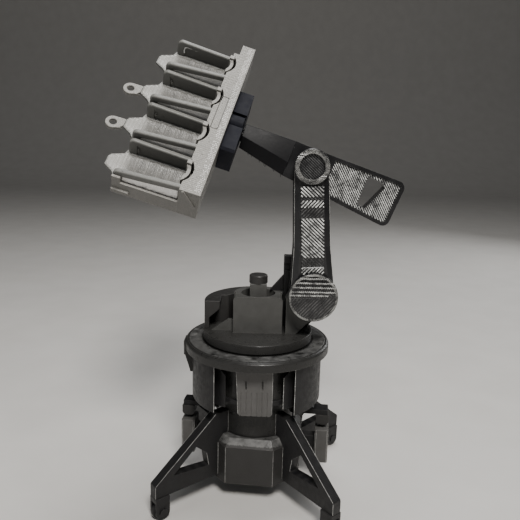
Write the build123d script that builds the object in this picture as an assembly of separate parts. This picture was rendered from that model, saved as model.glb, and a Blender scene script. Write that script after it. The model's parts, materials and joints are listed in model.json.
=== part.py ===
from build123d import *
import math
import os

# Desktop swing-arm model, in millimetres. +Z is up, the front of the object faces -Y.
# The origin is on the turntable axis, at the flat underside of the base housing.

# ---------------------------------------------------------------- driving dimensions
GAP = 0.3                   # free gap between parts that move past each other
RUN = 0.05                  # radial clearance of a running fit
FLOOR_Z = -4.8              # surface that the castor wheels stand on

BASE_TURN = -6.1            # the leg set is turned this far against the upper drum, degrees
DRUM_TURN = -1.5            # the drum opening is turned this far from the front, degrees

# base housing: a tall eight-sided box with narrow corner facets
HOUSING_FLAT = 11.2         # axis to each wide flat
HOUSING_HALF = 5.5          # half of a wide flat's length
HOUSING_WALL = 1.4
HOUSING_SHOULDER_Z = 9.2    # where the top chamfer starts
HOUSING_TOP_Z = 10.9
HOUSING_CHAMFER = 1.5
COVER_T = 1.2               # bottom cover thickness
COVER_SCREW_R = 0.7
COVER_SCREW_AT = 6.2
COVER_SCREW_TOP_Z = 4.2
COVER_BOSS_R = 1.3          # screw bosses inside the housing
CORE_R = 9.0                # round column above the housing
CORE_TOP_Z = 20.2
CORE_NECK_R = 11.9

# drum
DRUM_R = 15.3
DRUM_WALL = 1.4
DRUM_BOTTOM_Z = 18.4
LINER_BOTTOM_Z = 19.6
DRUM_TOP_Z = 30.1
DRUM_OPEN_HALF = 8.9        # half width of the opening in the outer shell
LINER_R = 13.6
LINER_WALL = 1.2
LINER_OPEN_HALF = 6.4
DRUM_FLOOR_T = 1.2
PLATE_HALF = 4.0            # ribbed front plate
PLATE_FRONT = 13.7
PLATE_T = 1.3
PLATE_BOTTOM_Z = 18.65
PLATE_TOP_Z = 29.3
PLATE_SLOT_AT = 1.8
PLATE_SLOT_LOW_Z = 24.8
PLATE_SLOT_HIGH_Z = 26.9
PLATE_RIBS = 7
PLATE_TAPER = 0.5            # how much narrower the plate's left edge is at the bottom
PLATE_CHAMFER = 0.45
PLATE_GROOVE = 0.15
BACK_SEAM_HALF = 0.2

FLANGE_R = 16.9
FLANGE_TOP_Z = 32.3
FLANGE_EDGE = 0.8
LUG_OUT = 17.0              # squared lug on the left of the flange
LUG_BOTTOM_Z = 28.6
LUG_TOP_Z = 31.9
LUG_GUSSET_Z = 24.0

# legs and castors
LEG_T = 2.3
LEG_OUT = 28.2
LEG_BOTTOM_Z = 0.85
LEG_TIP_Z = 3.8
LEG_TOP_Z = 16.4
FACET = (HOUSING_FLAT + HOUSING_HALF) / math.sqrt(2)
WHEEL_R = 2.0
WHEEL_W = 1.2
WHEEL_AT = 26.5
FORK_T = 2.9
FORK_SLOT = 1.7
FORK_HALF = 1.7
AXLE_R = 0.5
AXLE_HEAD_R = 0.85
AXLE_HEAD_T = 0.3

# jack units on both sides of the base
JACK_IN = 14.7
JACK_OUT = 17.9
JACK_HALF = 2.6
JACK_BOTTOM_Z = 2.0
JACK_TOP_Z = 10.6
JACK_ROD_R = 0.8
JACK_HEAD_BOTTOM_Z = 11.7
JACK_HEAD_TOP_Z = 14.1
JACK_HEAD_HALF = 1.9
JACK_ARM_T = 1.2

# turntable and turret
PIN_R = 1.6
COLLAR_HALF = 1.95
COLLAR_BOTTOM_Z = 41.0
COLLAR_TOP_Z = 45.6
PIN_HEAD_R = 2.15
PIN_TOP_Z = 47.5
BUSH_R = 2.6
WASHER_R = 6.0
WASHER_T = 0.2
TABLE_R = 12.8
TABLE_BOTTOM_Z = 32.55
TABLE_TOP_Z = 34.6
BLOCK_HALF = 5.6
BLOCK_FRONT = -4.4
BLOCK_TOP_Z = 43.1
BLOCK_CORNER = 0.9
BLOCK_WELL_R = 4.0
BLOCK_WELL_Z = 40.6
WALL_R = 12.5
WALL_IN_R = 7.9
WALL_TOP_Z = 41.3
WALL_FRONT_Y = -1.9         # flat left end of the wall
WALL_RECESS_Y = 3.5         # back of the recess inside that end
WALL_LIP_X = -8.85          # inner edge of the end's thick upper part
WALL_LIP_Z = 39.4
WALL_THIN_X = -11.3         # inner edge of its thin lower part
WALL_THIN_Z = 37.2
GUSSET_OUT = -10.6          # low web between the block and the wall
GUSSET_RISE_X = -6.7
GUSSET_TOP_Z = 37.3
GUSSET_FRONT_Y = -2.9
GUSSET_BACK_Y = -1.9
WALL_START = 35.0           # right rear end of the turret wall, degrees from +X
WALL_END = 200.0            # left front end

# arm, seen from the front: the boom swings between the two plates of the link
BOOM_Y0 = -4.4
BOOM_Y1 = -0.6
BOOM_MID_Y = (BOOM_Y0 + BOOM_Y1) / 2
LINK_FRONT_Y0 = -7.2
LINK_FRONT_Y1 = BOOM_Y0 - GAP
LINK_REAR_Y0 = BOOM_Y1 + GAP
LINK_REAR_Y1 = 1.1
POST_Y0 = LINK_REAR_Y1 + GAP
POST_Y1 = 3.4
SHOULDER_X = 12.1
SHOULDER_Z = 44.45
ELBOW_X = 10.75
ELBOW_Z = 72.8
LINK_LENGTH = math.hypot(ELBOW_X - SHOULDER_X, ELBOW_Z - SHOULDER_Z)
LINK_LEAN = math.degrees(math.atan2(ELBOW_X - SHOULDER_X, ELBOW_Z - SHOULDER_Z))
LINK_FOOT_HALF = 4.85
LINK_WAIST_HALF = 3.95
LINK_WAIST_AT = 11.0
LINK_HEAD_HALF = 3.65
LINK_FOOT_R = 5.1
LINK_BEVEL_D = 0.9
LINK_BEVEL_ANGLE = 54.0
LINK_WEB_LOW = 7.0
LINK_WEB_HIGH = 15.0
PANEL_HALF = 2.45
PANEL_PADS = ((4.9, 6.7), (8.8, 17.4), (19.7, 21.3), (22.0, 24.3))
SHOULDER_AXLE_R = 1.5
SHOULDER_HEAD_R = 2.4
SHOULDER_CAP_R = 5.45
SHOULDER_CAP_T = 1.4
EAR_R = 4.7
ELBOW_PIN_R = 1.5
ELBOW_CAP_R = 3.8
ELBOW_CAP_T = 1.0
ELBOW_WELL_R = 2.7
ELBOW_CLIP_R = 2.5

BOOM_FALL = 21.7            # the boom falls this far towards its tail, degrees
TAIL_END = 20.7
TAIL_ROUND = 1.6
TAIL_RIM = 0.8
TAIL_POCKET = 0.4
NECK_START = 4.9
NECK_EDGE_HALF = 1.3
NECK_RIDGE_HALF = 2.6

# rack: built along its own axes, u out of the spine, v down the spine, w out of the open side
RACK_RISE = 17.0            # the wrist axis rises this far towards the rack, degrees
RACK_ROLL = 43.4            # the rack is rolled this far about the wrist axis, degrees
RACK_ORIGIN = (-11.35, BOOM_MID_Y, 80.95)
SPINE_BACK = -4.1
SPINE_TOP_V = -20.2
SPINE_END_V = 23.2
RACK_LOW_W = -1.6
RACK_HIGH_W = 6.1
BLOCK_BACK_U = -7.2
WRIST_HALF_V = 8.7
WRIST_LOW_W = -2.8
WRIST_HIGH_W = 4.2
SPIGOT_R = 1.3
SPIGOT_HEAD_R = 1.9
CRADLES = 4
CRADLE_PITCH = 10.5
CRADLE_FIRST_V = -19.05
CRADLE_W = 10.2
CRADLE_LEN = 13.1
CHEEK_T = 1.1               # cheek thickness at its rim
CHEEK_RIM = 1.15
CHEEK_POST = 1.7
CHEEK_CORNER = 1.2
CHEEK_RIM_ROUND = 0.42
CHEEK_RECESS = 0.3
FLOOR_LEFT_W = -0.4         # trough floor at the upper cheek, in the middle and at the lower cheek
FLOOR_MIDDLE_W = -1.05
FLOOR_RIGHT_W = 0.4
TONGUE_LEN = 16.6
EYE_U = 18.9
EYE_V = 5.0
EYE_R = 1.6
EYE_T = 0.8
EYE_HOLE_R = 0.8
EYE_CRADLES = (1, 2)


# ---------------------------------------------------------------- frames of the moving groups
def rack_axes():
    rise = math.radians(RACK_RISE)
    roll = math.radians(RACK_ROLL)
    out = Vector(-math.cos(rise), 0, math.sin(rise))
    down = Vector(-math.sin(rise), 0, -math.cos(rise))
    front = Vector(0, -1, 0)
    open_side = front * math.cos(roll) - down * math.sin(roll)
    return out, open_side


BASE = Rot(0, 0, BASE_TURN)
DRUM = Rot(0, 0, DRUM_TURN)
LINK = Pos(SHOULDER_X, 0, SHOULDER_Z) * Rot(0, LINK_LEAN, 0)
BOOM = Pos(ELBOW_X, 0, ELBOW_Z) * Rot(0, BOOM_FALL, 0)
RACK_OUT, RACK_OPEN = rack_axes()
RACK = Plane(origin=RACK_ORIGIN, x_dir=RACK_OUT, z_dir=RACK_OPEN).location


# ---------------------------------------------------------------- helpers
def block(x0, x1, y0, y1, z0, z1):
    """Box from its two corners."""
    centre = Pos((x0 + x1) / 2, (y0 + y1) / 2, (z0 + z1) / 2)
    return centre * Box(x1 - x0, y1 - y0, z1 - z0)


def rod(radius, z0, z1, x=0.0, y=0.0):
    """Upright cylinder between two heights."""
    return Pos(x, y, (z0 + z1) / 2) * Cylinder(radius, z1 - z0)


def rod_y(radius, x, z, y0, y1):
    """Cylinder lying along Y."""
    return Pos(x, (y0 + y1) / 2, z) * Rot(90, 0, 0) * Cylinder(radius, y1 - y0)


def slab_xz(points, y0, y1):
    """Polygon drawn in X and Z, thick from y0 to y1."""
    plane = Plane(origin=(0, y1, 0), x_dir=(1, 0, 0), z_dir=(0, -1, 0))
    return extrude(plane * make_face(Polyline(*points, close=True)), y1 - y0)


def slab_xy(points, z0, z1):
    """Polygon drawn in X and Y, thick from z0 to z1."""
    return extrude(Pos(0, 0, z0) * make_face(Polyline(*points, close=True)), z1 - z0)


def octagon(inset, z):
    """Face of the housing's outline, drawn in by an inset."""
    flat = HOUSING_FLAT - inset
    half = HOUSING_HALF - inset * math.tan(math.radians(22.5))
    corners = [(half, -flat), (flat, -half), (flat, half), (half, flat)]
    corners += [(-x, -y) for x, y in corners]
    return Pos(0, 0, z) * make_face(Polyline(*corners, close=True))


def sector(radius, start, end, z0, z1):
    """Pie slice about the Z axis between two angles in degrees."""
    steps = 12
    points = [(0, 0)]
    for i in range(steps + 1):
        angle = math.radians(start + (end - start) * i / steps)
        points.append((radius * math.cos(angle), radius * math.sin(angle)))
    return slab_xy(points, z0, z1)


def edges_at_z(shape, z):
    """Edges that lie wholly at one height."""
    return [e for e in shape.edges() if abs(e.bounding_box().min.Z - z) < 0.01 > e.bounding_box().size.Z]


# ---------------------------------------------------------------- base
def base_housing():
    outer = extrude(octagon(0, 0), HOUSING_SHOULDER_Z)
    cap = loft([octagon(0, HOUSING_SHOULDER_Z), octagon(HOUSING_CHAMFER, HOUSING_TOP_Z)])
    inner = extrude(octagon(HOUSING_WALL, 0), HOUSING_SHOULDER_Z)
    housing = outer + cap - inner - rod(PIN_R, 0, HOUSING_TOP_Z)
    for x, y in cover_screw_places():
        boss = rod(COVER_BOSS_R, COVER_T, HOUSING_SHOULDER_Z, x, y)
        housing += boss - rod(COVER_SCREW_R, COVER_T, COVER_SCREW_TOP_Z, x, y)
    return BASE * housing


def base_cover():
    plate = extrude(octagon(HOUSING_WALL, 0), COVER_T)
    for x, y in cover_screw_places():
        plate -= rod(COVER_SCREW_R, 0, COVER_T, x, y)
    return BASE * plate


def cover_screw_places():
    return [(sx * COVER_SCREW_AT, sy * COVER_SCREW_AT) for sx in (-1, 1) for sy in (-1, 1)]


def cover_screws():
    parts = []
    slot_half = 0.12
    for x, y in cover_screw_places():
        screw = rod(COVER_SCREW_R, 0, COVER_SCREW_TOP_Z, x, y)
        screw -= block(x - COVER_SCREW_R, x + COVER_SCREW_R, y - slot_half, y + slot_half, 0, 0.3)
        parts.append(BASE * screw)
    return parts


def base_core():
    column = rod(CORE_R, HOUSING_TOP_Z, CORE_TOP_Z)
    neck = rod(CORE_NECK_R, CORE_TOP_Z, DRUM_TOP_Z)
    return column + neck - rod(PIN_R, HOUSING_TOP_Z, DRUM_TOP_Z)


def drum_floor():
    top = CORE_TOP_Z + DRUM_FLOOR_T
    return rod(LINER_R - LINER_WALL, CORE_TOP_Z, top) - rod(CORE_NECK_R, CORE_TOP_Z, top)


def half_shell(radius, wall, open_half, z0, side):
    """One half of a round shell with a front opening and a seam at the back."""
    ring = rod(radius, z0, DRUM_TOP_Z) - rod(radius - wall, z0, DRUM_TOP_Z)
    ring -= block(-open_half, open_half, -radius, 0, z0, DRUM_TOP_Z)
    ring -= block(-BACK_SEAM_HALF, BACK_SEAM_HALF, 0, radius, z0, DRUM_TOP_Z)
    keep = block(0, radius, -radius, radius, z0, DRUM_TOP_Z)
    return ring & (keep if side > 0 else mirror(keep, Plane.YZ))


def drum_shell(side):
    return DRUM * half_shell(DRUM_R, DRUM_WALL, DRUM_OPEN_HALF, DRUM_BOTTOM_Z, side)


def drum_liner(side):
    shell = half_shell(LINER_R, LINER_WALL, LINER_OPEN_HALF, LINER_BOTTOM_Z, side)
    cut_high, cut_wide = 2.8, 3.4
    corner = [
        (side * LINER_OPEN_HALF, DRUM_TOP_Z),
        (side * (LINER_OPEN_HALF + cut_wide), DRUM_TOP_Z),
        (side * LINER_OPEN_HALF, DRUM_TOP_Z - cut_high),
    ]
    return DRUM * (shell - slab_xz(corner, -LINER_R, 0))


def front_plate():
    low, right = PLATE_BOTTOM_Z + PLATE_CHAMFER, PLATE_HALF - PLATE_CHAMFER
    left = PLATE_TAPER - PLATE_HALF
    outline = [
        (-PLATE_HALF, PLATE_TOP_Z), (PLATE_HALF, PLATE_TOP_Z), (PLATE_HALF, low), (right, PLATE_BOTTOM_Z),
        (left + PLATE_CHAMFER, PLATE_BOTTOM_Z), (left, low),
    ]
    plate = slab_xz(outline, -PLATE_FRONT, PLATE_T - PLATE_FRONT)
    pitch = 2 * PLATE_HALF / PLATE_RIBS
    groove_half = 0.12
    groove_back = PLATE_GROOVE - PLATE_FRONT
    rib_top = PLATE_SLOT_LOW_Z - 0.6
    for i in range(1, PLATE_RIBS):
        x = -PLATE_HALF + i * pitch
        plate -= block(x - groove_half, x + groove_half, -PLATE_FRONT, groove_back, PLATE_BOTTOM_Z, rib_top)
    slot_half = 0.2
    slot_back = 0.7 - PLATE_FRONT
    for side in (-1, 1):
        x = side * PLATE_SLOT_AT
        plate -= block(x - slot_half, x + slot_half, -PLATE_FRONT, slot_back, PLATE_SLOT_LOW_Z, PLATE_SLOT_HIGH_Z)
    return DRUM * plate


def front_plate_bracket():
    """Short arm that carries the ribbed plate from the column's neck."""
    half = 1.5
    arm = block(-half, half, PLATE_T - PLATE_FRONT, 0, PLATE_SLOT_LOW_Z - 2.4, PLATE_SLOT_HIGH_Z)
    return DRUM * (arm - rod(CORE_NECK_R, CORE_TOP_Z, DRUM_TOP_Z))


def flange_ring():
    ring = rod(FLANGE_R, DRUM_TOP_Z, FLANGE_TOP_Z) - rod(PIN_R, DRUM_TOP_Z, FLANGE_TOP_Z)
    ring = fillet(edges_at_z(ring, FLANGE_TOP_Z)[:1], FLANGE_EDGE)
    outside = rod(DRUM_R, LUG_GUSSET_Z, DRUM_TOP_Z)
    lug = block(-LUG_OUT, -13.0, -3.4, 0.6, LUG_BOTTOM_Z, LUG_TOP_Z) - outside
    gusset = slab_xz([(-LUG_OUT, LUG_BOTTOM_Z), (-13.0, LUG_BOTTOM_Z), (-13.0, LUG_GUSSET_Z),
                      (-15.6, LUG_GUSSET_Z)], -2.4, -0.6) - outside
    return ring + lug + gusset


# ---------------------------------------------------------------- legs and castors
def leg_place(index):
    return Rot(0, 0, BASE_TURN + 45 + 90 * index)


def leg(index):
    outline = [
        (FACET, LEG_BOTTOM_Z), (LEG_OUT, LEG_BOTTOM_Z), (LEG_OUT, LEG_TIP_Z), (12.4, LEG_TOP_Z),
        (CORE_R, LEG_TOP_Z), (CORE_R, HOUSING_TOP_Z), (FACET - HOUSING_CHAMFER, HOUSING_TOP_Z),
        (FACET, HOUSING_SHOULDER_Z),
    ]
    window = [(23.6, 5.0), (17.8, 10.0), (15.0, 7.6), (14.4, 4.2)]
    plate = slab_xz(outline, -LEG_T / 2, LEG_T / 2)
    return leg_place(index) * (plate - slab_xz(window, -LEG_T, LEG_T))


def castor_fork(index):
    z_axle = FLOOR_Z + WHEEL_R
    body = block(WHEEL_AT - FORK_HALF, WHEEL_AT + FORK_HALF, -FORK_T / 2, FORK_T / 2, z_axle, LEG_BOTTOM_Z)
    body += rod_y(FORK_HALF, WHEEL_AT, z_axle, -FORK_T / 2, FORK_T / 2)
    body -= block(WHEEL_AT - 3, WHEEL_AT + 3, -FORK_SLOT / 2, FORK_SLOT / 2,
                  FLOOR_Z - 1, z_axle + WHEEL_R + GAP)
    return leg_place(index) * (body - rod_y(AXLE_R, WHEEL_AT, z_axle, -FORK_T, FORK_T))


def castor_wheel(index):
    z_axle = FLOOR_Z + WHEEL_R
    wheel = rod_y(WHEEL_R, WHEEL_AT, z_axle, -WHEEL_W / 2, WHEEL_W / 2)
    wheel = fillet([e for e in wheel.edges() if e.geom_type == GeomType.CIRCLE], 0.25)
    return leg_place(index) * (wheel - rod_y(AXLE_R + RUN, WHEEL_AT, z_axle, -WHEEL_W, WHEEL_W))


def castor_axle(index):
    z_axle = FLOOR_Z + WHEEL_R
    reach = FORK_T / 2
    pin = rod_y(AXLE_R, WHEEL_AT, z_axle, -reach, reach)
    for y in (-reach - AXLE_HEAD_T, reach):
        pin += rod_y(AXLE_HEAD_R, WHEEL_AT, z_axle, y, y + AXLE_HEAD_T)
    return leg_place(index) * pin


# ---------------------------------------------------------------- jack units
def jack_place(side):
    return Rot(0, 0, BASE_TURN + (0 if side > 0 else 180))


def jack_body(side):
    body = block(JACK_IN, JACK_OUT, -JACK_HALF, JACK_HALF, JACK_BOTTOM_Z, JACK_TOP_Z)
    body = chamfer(body.edges().filter_by(Axis.Z), 0.3)
    groove = block(JACK_IN - 1, JACK_OUT + 1, -0.25, 0.25, JACK_BOTTOM_Z, JACK_TOP_Z)
    groove -= block(JACK_IN + 0.3, JACK_OUT - 0.3, -1, 1, JACK_BOTTOM_Z, JACK_TOP_Z)
    return jack_place(side) * (body - groove)


def jack_rod(side):
    """Piston rod with its wide head."""
    middle = (JACK_IN + JACK_OUT) / 2
    head = block(JACK_IN + 0.1, JACK_OUT - 0.1, -JACK_HEAD_HALF, JACK_HEAD_HALF, JACK_HEAD_BOTTOM_Z, JACK_HEAD_TOP_Z)
    head = fillet(head.edges().filter_by(Axis.Y).group_by(Axis.Z)[0], 0.9)
    return jack_place(side) * (head + rod(JACK_ROD_R, JACK_TOP_Z, JACK_HEAD_BOTTOM_Z, middle, 0))


def jack_arm(side):
    """Bracket over the jack, from the column, with a stub down to the housing side."""
    top = JACK_HEAD_TOP_Z + JACK_ARM_T
    arm = block(0, JACK_OUT - 0.3, -1.6, 1.6, JACK_HEAD_TOP_Z, top) - rod(CORE_R, 0, CORE_TOP_Z)
    rib = slab_xz([(CORE_R + 0.2, top), (14.2, top), (CORE_R + 0.2, top + 2.6)], -0.6, 0.6)
    return jack_place(side) * (arm + rib - rod(CORE_R, 0, CORE_TOP_Z))


def jack_stay(side):
    stay = block(HOUSING_FLAT, JACK_IN, -1.2, 1.2, 3.0, 8.2)
    return jack_place(side) * stay


# ---------------------------------------------------------------- turntable
def king_pin():
    shaft = rod(PIN_R, HOUSING_SHOULDER_Z, COLLAR_TOP_Z)
    head = rod(PIN_HEAD_R, COLLAR_TOP_Z, PIN_TOP_Z)
    head = fillet(edges_at_z(head, PIN_TOP_Z), 0.4)
    return shaft + head


def pin_collar():
    collar = block(-COLLAR_HALF, COLLAR_HALF, -COLLAR_HALF, COLLAR_HALF, COLLAR_BOTTOM_Z, COLLAR_TOP_Z)
    return collar - rod(PIN_R, COLLAR_BOTTOM_Z, COLLAR_TOP_Z)


def thrust_washer():
    return rod(WASHER_R, FLANGE_TOP_Z, FLANGE_TOP_Z + WASHER_T) - rod(PIN_R, FLANGE_TOP_Z, TABLE_TOP_Z)


def turntable_disc():
    return rod(TABLE_R, TABLE_BOTTOM_Z, TABLE_TOP_Z) - rod(BUSH_R, TABLE_BOTTOM_Z, TABLE_TOP_Z)


def turntable_bush():
    z0 = TABLE_BOTTOM_Z
    return rod(BUSH_R, z0, BLOCK_WELL_Z) - rod(PIN_R + RUN, z0, BLOCK_WELL_Z)


def turret_wall():
    wall = rod(WALL_R, TABLE_TOP_Z, WALL_TOP_Z) - rod(WALL_IN_R, TABLE_TOP_Z, WALL_TOP_Z)
    wall = wall & sector(2 * WALL_R, WALL_START, WALL_END, TABLE_TOP_Z, WALL_TOP_Z)
    wall = wall & block(-WALL_R, WALL_R, WALL_FRONT_Y, WALL_R, TABLE_TOP_Z, WALL_TOP_Z)
    recess = [
        (WALL_THIN_X, TABLE_TOP_Z), (WALL_THIN_X, WALL_THIN_Z), (WALL_LIP_X, WALL_LIP_Z),
        (WALL_LIP_X, WALL_TOP_Z), (0, WALL_TOP_Z), (0, TABLE_TOP_Z),
    ]
    return wall - slab_xz(recess, WALL_FRONT_Y, WALL_RECESS_Y)


def centre_block():
    front = block(-BLOCK_HALF, BLOCK_HALF, BLOCK_FRONT, 0, TABLE_TOP_Z, BLOCK_TOP_Z)
    top_corners = front.edges().filter_by(Axis.Y).group_by(Axis.Z)[-1]
    rear = block(-BLOCK_HALF, BLOCK_HALF, 0, BLOCK_HALF, TABLE_TOP_Z, BLOCK_TOP_Z)
    body = fillet(top_corners, BLOCK_CORNER) + (rod(BLOCK_HALF, TABLE_TOP_Z, BLOCK_TOP_Z) & rear)
    web = [
        (-BLOCK_HALF, TABLE_TOP_Z), (GUSSET_OUT, TABLE_TOP_Z), (GUSSET_RISE_X, GUSSET_TOP_Z),
        (-BLOCK_HALF, GUSSET_TOP_Z),
    ]
    body += slab_xz(web, GUSSET_FRONT_Y, GUSSET_BACK_Y)
    body -= rod(BLOCK_WELL_R, BLOCK_WELL_Z, BLOCK_TOP_Z)
    return body - rod(BUSH_R, TABLE_TOP_Z, BLOCK_WELL_Z)


def shoulder_ear():
    foot = [(6.4, TABLE_TOP_Z), (8.8, TABLE_TOP_Z), (15.7, 41.6), (SHOULDER_X, SHOULDER_Z), (6.4, 42.6)]
    cheek = [(6.4, 42.5), (8.9, 48.1), (SHOULDER_X, SHOULDER_Z), (10.0, 40.0)]
    ear = slab_xz(foot, BOOM_Y0, BOOM_Y1) + slab_xz(cheek, BOOM_Y0, BOOM_Y1)
    ear += rod_y(EAR_R, SHOULDER_X, SHOULDER_Z, BOOM_Y0, BOOM_Y1)
    return ear - rod_y(SHOULDER_AXLE_R, SHOULDER_X, SHOULDER_Z, BOOM_Y0, BOOM_Y1)


def bracket_post():
    outline = [(5.9, TABLE_TOP_Z), (11.9, TABLE_TOP_Z), (16.6, 40.5), (16.6, 47.4), (12.4, 51.7), (5.9, 51.7)]
    post = slab_xz(outline, POST_Y0, POST_Y1)
    post -= slab_xz([(5.9, 48.1), (9.6, 48.1), (9.6, 50.0), (5.9, 50.0)], POST_Y0, POST_Y0 + 0.8)
    return post - rod_y(SHOULDER_AXLE_R, SHOULDER_X, SHOULDER_Z, POST_Y0, POST_Y1)


def post_gusset():
    points = [(2.7, BLOCK_TOP_Z), (5.9, BLOCK_TOP_Z), (5.9, 46.9)]
    return slab_xz(points, 2.0, 3.2)


def shoulder_axle():
    pin = rod_y(SHOULDER_AXLE_R, SHOULDER_X, SHOULDER_Z, LINK_FRONT_Y0 + 0.1, POST_Y1)
    return pin + rod_y(SHOULDER_HEAD_R, SHOULDER_X, SHOULDER_Z, POST_Y1, POST_Y1 + 0.9)


# ---------------------------------------------------------------- link
def link_outline():
    """Waisted part of a link plate, in the link's own X and Z."""
    right = [(LINK_FOOT_HALF, 0), (LINK_WAIST_HALF, LINK_WAIST_AT), (LINK_HEAD_HALF, LINK_LENGTH)]
    return [(-x, z) for x, z in right] + right[::-1]


def link_plate(y0, y1, bore):
    plate = slab_xz(link_outline(), y0, y1)
    plate += rod_y(LINK_FOOT_R, 0, 0, y0, y1) + rod_y(LINK_HEAD_HALF, 0, LINK_LENGTH, y0, y1)
    plate -= rod_y(SHOULDER_AXLE_R + RUN, 0, 0, y0, y1)
    return plate - rod_y(bore, 0, LINK_LENGTH, y0, y1)


def link_front():
    core = link_plate(LINK_FRONT_Y0 + LINK_BEVEL_D, LINK_FRONT_Y1, ELBOW_PIN_R)
    plane = Plane(origin=(0, LINK_FRONT_Y0 + LINK_BEVEL_D, 0), x_dir=(1, 0, 0), z_dir=(0, -1, 0))
    face = plane * make_face(Polyline(*link_outline(), close=True))
    bevel = extrude(face, LINK_BEVEL_D, taper=LINK_BEVEL_ANGLE)
    ends = rod_y(LINK_FOOT_R, 0, 0, LINK_FRONT_Y0, LINK_FRONT_Y1)
    ends += rod_y(LINK_HEAD_HALF, 0, LINK_LENGTH, LINK_FRONT_Y0, LINK_FRONT_Y1)
    plate = core + bevel + ends
    plate -= rod_y(SHOULDER_AXLE_R + RUN, 0, 0, LINK_FRONT_Y0, LINK_FRONT_Y1)
    plate -= rod_y(ELBOW_PIN_R, 0, LINK_LENGTH, LINK_FRONT_Y0, LINK_FRONT_Y1)
    return LINK * plate


def link_rear():
    return LINK * link_plate(LINK_REAR_Y0, LINK_REAR_Y1, ELBOW_PIN_R)


def link_web():
    half = 3.4
    return LINK * block(-half, half, LINK_FRONT_Y1, LINK_REAR_Y0, LINK_WEB_LOW, LINK_WEB_HIGH)


def link_panel():
    """Thin inlay with raised pads down the front of the link."""
    low, high = PANEL_PADS[0][0], PANEL_PADS[-1][1]
    sheet = block(-PANEL_HALF, PANEL_HALF, LINK_FRONT_Y0 - 0.12, LINK_FRONT_Y0, low, high)
    for z0, z1 in PANEL_PADS:
        sheet += block(-PANEL_HALF, PANEL_HALF, LINK_FRONT_Y0 - 0.35, LINK_FRONT_Y0 - 0.1, z0, z1)
    sheet -= rod_y(SHOULDER_CAP_R + 0.05, 0, 0, LINK_FRONT_Y0 - 1, LINK_FRONT_Y0)
    return LINK * (sheet - rod_y(ELBOW_CAP_R + 0.05, 0, LINK_LENGTH, LINK_FRONT_Y0 - 1, LINK_FRONT_Y0))


def shoulder_cap():
    """Round cap over the shoulder axle, stepped across its upper half."""
    y0 = LINK_FRONT_Y0 - SHOULDER_CAP_T
    cap = rod_y(SHOULDER_CAP_R, 0, 0, y0, LINK_FRONT_Y0)
    cap = chamfer([e for e in cap.edges() if e.geom_type == GeomType.CIRCLE and e.center().Y < y0 + 0.01], 0.3)
    step_depth = 0.12
    for i in range(4):
        z_step = 0.0 + i * 1.1
        cap -= rod_y(SHOULDER_CAP_R - 0.7, 0, 0, y0, y0 + (i + 1) * step_depth) & block(
            -SHOULDER_CAP_R, SHOULDER_CAP_R, y0 - 1, y0 + 2, z_step, SHOULDER_CAP_R)
    return LINK * cap


def elbow_pin():
    """Elbow pin with a dished round head at the front."""
    y0 = LINK_FRONT_Y0 - ELBOW_CAP_T
    pin = rod_y(ELBOW_CAP_R, 0, LINK_LENGTH, y0, LINK_FRONT_Y0)
    pin = chamfer([e for e in pin.edges() if e.geom_type == GeomType.CIRCLE and e.center().Y < y0 + 0.01], 0.25)
    pin -= rod_y(ELBOW_WELL_R, 0, LINK_LENGTH, y0, y0 + 0.75)
    return LINK * (pin + rod_y(ELBOW_PIN_R, 0, LINK_LENGTH, LINK_FRONT_Y0, LINK_REAR_Y1))


def elbow_clip():
    return LINK * rod_y(ELBOW_CLIP_R, 0, LINK_LENGTH, LINK_REAR_Y1, LINK_REAR_Y1 + 0.7)


# ---------------------------------------------------------------- boom
TAIL_OUTLINE = [
    (-NECK_START, -4.3), (-NECK_START, 3.5), (3.0, 3.75), (TAIL_END, 4.6), (TAIL_END, -5.95), (7.0, -5.05),
]
TAIL_WINDOW = [(12.4, 2.8), (16.1, 2.7), (16.7, 2.0), (14.5, -3.8), (12.6, -3.8)]
TAIL_FACE = [(4.4, -4.2), (4.4, 3.05), (TAIL_END - TAIL_RIM, 3.8), (TAIL_END - TAIL_RIM, -5.15), (7.0, -4.25)]


def boom_tail():
    tail = slab_xz(TAIL_OUTLINE, BOOM_Y0, BOOM_Y1)
    ends = [e for e in tail.edges().filter_by(Axis.Y) if e.center().X > TAIL_END / 2]
    tail = fillet(ends, TAIL_ROUND)
    window = slab_xz(TAIL_WINDOW, BOOM_Y0, BOOM_Y1)
    tail -= fillet(window.edges().filter_by(Axis.Y), 0.4)
    for y in (BOOM_Y0, BOOM_Y1 - TAIL_POCKET):
        pocket = slab_xz(TAIL_FACE, y, y + TAIL_POCKET)
        corners = [e for e in pocket.edges().filter_by(Axis.Y) if e.center().X > TAIL_END / 2]
        tail -= fillet(corners, TAIL_ROUND - TAIL_RIM)
    return BOOM * (tail - rod_y(ELBOW_PIN_R + RUN, 0, 0, BOOM_Y0, BOOM_Y1))


def neck_profile(top, ridge, bottom, edge_half, ridge_half):
    """Six corners of a neck section, as (across, up) pairs."""
    return [
        (-edge_half, top), (edge_half, top), (ridge_half, ridge),
        (edge_half, bottom), (-edge_half, bottom), (-ridge_half, ridge),
    ]


def boom_neck():
    """Six-sided neck between the boom's flat part and the wrist, which meets the wrist squarely."""
    roll = math.radians(RACK_ROLL)
    wide = [(-NECK_START, BOOM_MID_Y + y, z) for y, z in neck_profile(3.5, -1.3, -4.3, 1.5, NECK_RIDGE_HALF)]
    narrow = []
    for y, z in neck_profile(2.57, 0.0, -2.57, NECK_EDGE_HALF, NECK_RIDGE_HALF - 0.1):
        v = -y * math.sin(roll) - z * math.cos(roll)
        w = -y * math.cos(roll) + z * math.sin(roll)
        narrow.append((BLOCK_BACK_U - GAP, v, w))
    start = BOOM * make_face(Polyline(*wide, close=True))
    end = RACK * make_face(Polyline(*narrow, close=True))
    return loft([start, end])


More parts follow.
